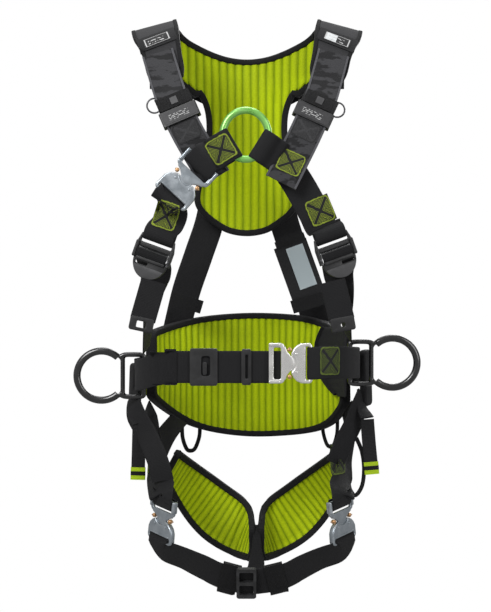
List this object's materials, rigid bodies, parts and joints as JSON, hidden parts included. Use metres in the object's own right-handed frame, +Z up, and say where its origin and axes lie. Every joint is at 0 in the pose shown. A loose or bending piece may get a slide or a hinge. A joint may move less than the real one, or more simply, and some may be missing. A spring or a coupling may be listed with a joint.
{
  "type": "tree climbing saddle",
  "caption": "Full-body climbing saddle with padded yoke, waist belt and leg loops, webbing straps, quick-connect buckles and attachment rings.",
  "frame": {"origin": "on the wearer's centre line at the height of the shoulder tops, where the yoke rests on the shoulders", "axes": "+X to the wearer's left, -Y in front of the chest, +Z up"},
  "size_m": [0.509, 0.2677, 0.8365],
  "materials": {
    "lime_padding": "ribbed lime mesh over foam",
    "shoulder_fabric": "dark grey woven with darker patches",
    "black_webbing": "matte woven polyester webbing",
    "green_metal": "green anodised, satin",
    "steel": "grey-blue satin",
    "silver": "bright satin",
    "copper": "copper-coloured anodised",
    "black_metal": "gloss black",
    "black_plastic": "fine moulded texture",
    "wire": "darkened steel wire"
  },
  "bodies": {
    "harness": {"back_pad": "lime_padding", "waist_pad": "lime_padding", "leg_pad_right": "lime_padding", "leg_pad_left": "lime_padding", "shoulder_pad_right": "shoulder_fabric", "shoulder_pad_left": "shoulder_fabric", "shoulder_strap_right": "shoulder_fabric", "shoulder_strap_left": "shoulder_fabric", "back_strap_right": "black_webbing", "back_strap_left": "black_webbing", "chest_strap_right": "black_webbing", "chest_strap_left": "black_webbing", "front_strap_right": "black_webbing", "side_strap_right": "black_webbing", "side_strap_left": "black_webbing", "hip_strap_right": "black_webbing", "hip_strap_left": "black_webbing", "leg_front_strap_right": "black_webbing", "leg_front_strap_left": "black_webbing", "belt_back": "black_webbing", "belt_right": "black_webbing", "belt_left": "black_webbing", "chest_buckle_tongue": "steel", "chest_buckle_body": "steel", "leg_buckle_right_tongue": "steel", "leg_buckle_right_body": "steel", "leg_buckle_left_tongue": "steel", "leg_buckle_left_body": "steel", "waist_buckle_tongue": "silver", "waist_buckle_body": "silver", "torso_adjuster_right": "black_plastic", "torso_adjuster_left": "black_plastic", "crotch_adjuster": "black_plastic", "lanyard_keeper_right": "black_plastic", "lanyard_keeper_left": "black_plastic", "dorsal_plate": "black_plastic", "gear_loop_right": "black_plastic", "gear_loop_left": "black_plastic"},
    "chest_ring": {"chest_ring": "green_metal"},
    "dorsal_ring": {"dorsal_ring": "green_metal"},
    "side_ring_right": {"side_ring_right": "black_metal"},
    "side_ring_left": {"side_ring_left": "black_metal"},
    "keeper_ring_right": {"keeper_ring_right": "wire"},
    "keeper_ring_left": {"keeper_ring_left": "wire"},
    "strap_tail_right": {"strap_tail_right": "black_webbing"},
    "strap_tail_left": {"strap_tail_left": "black_webbing"},
    "pull_tail_right": {"pull_tail_right": "black_webbing"},
    "pull_tail_left": {"pull_tail_left": "black_webbing"},
    "belt_slider": {"belt_slider": "black_plastic"},
    "belt_keeper": {"belt_keeper": "black_plastic"},
    "adjuster_bar_right": {"adjuster_bar_right": "black_metal"},
    "adjuster_bar_left": {"adjuster_bar_left": "black_metal"},
    "chest_buckle_pawl_upper": {"chest_buckle_pawl_upper": "copper"},
    "chest_buckle_pawl_lower": {"chest_buckle_pawl_lower": "copper"},
    "waist_buckle_pawl_upper": {"waist_buckle_pawl_upper": "copper"},
    "waist_buckle_pawl_lower": {"waist_buckle_pawl_lower": "copper"},
    "leg_buckle_right_pawl_front": {"leg_buckle_right_pawl_front": "copper"},
    "leg_buckle_right_pawl_rear": {"leg_buckle_right_pawl_rear": "copper"},
    "leg_buckle_left_pawl_front": {"leg_buckle_left_pawl_front": "copper"},
    "leg_buckle_left_pawl_rear": {"leg_buckle_left_pawl_rear": "copper"}
  },
  "joints": [
    {"name": "chest_ring_tilt", "type": "hinge", "parent": "harness", "child": "chest_ring", "pos_m": [-0.002, -0.116, -0.2], "axis": [1, 0, 0], "range_deg": [-15, 60]},
    {"name": "dorsal_ring_tilt", "type": "hinge", "parent": "harness", "child": "dorsal_ring", "pos_m": [0, 0.138, -0.092], "axis": [-1, 0, 0], "range_deg": [0, 95]},
    {"name": "side_ring_right_swing", "type": "hinge", "parent": "harness", "child": "side_ring_right", "pos_m": [-0.151, -0.02, -0.519], "axis": [0, 0, 1], "range_deg": [-15, 50]},
    {"name": "side_ring_left_swing", "type": "hinge", "parent": "harness", "child": "side_ring_left", "pos_m": [0.151, -0.02, -0.5], "axis": [0, 0, -1], "range_deg": [-15, 50]},
    {"name": "keeper_ring_right_swing", "type": "hinge", "parent": "harness", "child": "keeper_ring_right", "pos_m": [-0.123, -0.067, -0.1355], "axis": [-0.4108, 0, 0.9117], "range_deg": [-40, 40]},
    {"name": "keeper_ring_left_swing", "type": "hinge", "parent": "harness", "child": "keeper_ring_left", "pos_m": [0.1195, -0.067, -0.1415], "axis": [0.4108, 0, 0.9117], "range_deg": [-40, 40]},
    {"name": "strap_tail_right_swing", "type": "hinge", "parent": "harness", "child": "strap_tail_right", "pos_m": [-0.13, -0.11, -0.38], "axis": [1, 0, 0], "range_deg": [-40, 4]},
    {"name": "strap_tail_left_swing", "type": "hinge", "parent": "harness", "child": "strap_tail_left", "pos_m": [0.119, -0.11, -0.38], "axis": [1, 0, 0], "range_deg": [-40, 4]},
    {"name": "pull_tail_right_swing", "type": "hinge", "parent": "harness", "child": "pull_tail_right", "pos_m": [-0.157, -0.03, -0.589], "axis": [1, 0, 0], "range_deg": [-30, 0]},
    {"name": "pull_tail_left_swing", "type": "hinge", "parent": "harness", "child": "pull_tail_left", "pos_m": [0.175, -0.03, -0.581], "axis": [1, 0, 0], "range_deg": [-30, 30]},
    {"name": "belt_slider_adjust", "type": "slide", "parent": "harness", "child": "belt_slider", "axis": [1, 0, 0], "range_m": [-0.012, 0.02]},
    {"name": "belt_keeper_adjust", "type": "slide", "parent": "harness", "child": "belt_keeper", "axis": [1, 0, 0], "range_m": [-0.01, 0.015]},
    {"name": "adjuster_bar_right_release", "type": "slide", "parent": "harness", "child": "adjuster_bar_right", "axis": [-0.3387, 0.0476, -0.9397], "range_m": [0, 0.005], "stiffness_N_per_m": 400},
    {"name": "adjuster_bar_left_release", "type": "slide", "parent": "harness", "child": "adjuster_bar_left", "axis": [0.3387, 0.0476, -0.9397], "range_m": [0, 0.005], "stiffness_N_per_m": 400},
    {"name": "chest_pawl_upper_press", "type": "slide", "parent": "harness", "child": "chest_buckle_pawl_upper", "axis": [0.7314, 0, -0.682], "range_m": [0, 0.0022], "stiffness_N_per_m": 400},
    {"name": "chest_pawl_lower_press", "type": "slide", "parent": "harness", "child": "chest_buckle_pawl_lower", "axis": [-0.7314, 0, 0.682], "range_m": [0, 0.0022], "stiffness_N_per_m": 400},
    {"name": "waist_pawl_upper_press", "type": "slide", "parent": "harness", "child": "waist_buckle_pawl_upper", "axis": [0, 0, -1], "range_m": [0, 0.0022], "stiffness_N_per_m": 400},
    {"name": "waist_pawl_lower_press", "type": "slide", "parent": "harness", "child": "waist_buckle_pawl_lower", "axis": [0, 0, 1], "range_m": [0, 0.0022], "stiffness_N_per_m": 400},
    {"name": "leg_right_pawl_front_press", "type": "slide", "parent": "harness", "child": "leg_buckle_right_pawl_front", "axis": [-0.6365, 0.7586, 0.1392], "range_m": [0, 0.0022], "stiffness_N_per_m": 400},
    {"name": "leg_right_pawl_rear_press", "type": "slide", "parent": "harness", "child": "leg_buckle_right_pawl_rear", "axis": [0.6365, -0.7586, -0.1392], "range_m": [0, 0.0022], "stiffness_N_per_m": 400},
    {"name": "leg_left_pawl_front_press", "type": "slide", "parent": "harness", "child": "leg_buckle_left_pawl_front", "axis": [0.6365, 0.7586, 0.1392], "range_m": [0, 0.0022], "stiffness_N_per_m": 400},
    {"name": "leg_left_pawl_rear_press", "type": "slide", "parent": "harness", "child": "leg_buckle_left_pawl_rear", "axis": [-0.6365, -0.7586, -0.1392], "range_m": [0, 0.0022], "stiffness_N_per_m": 400}
  ]
}
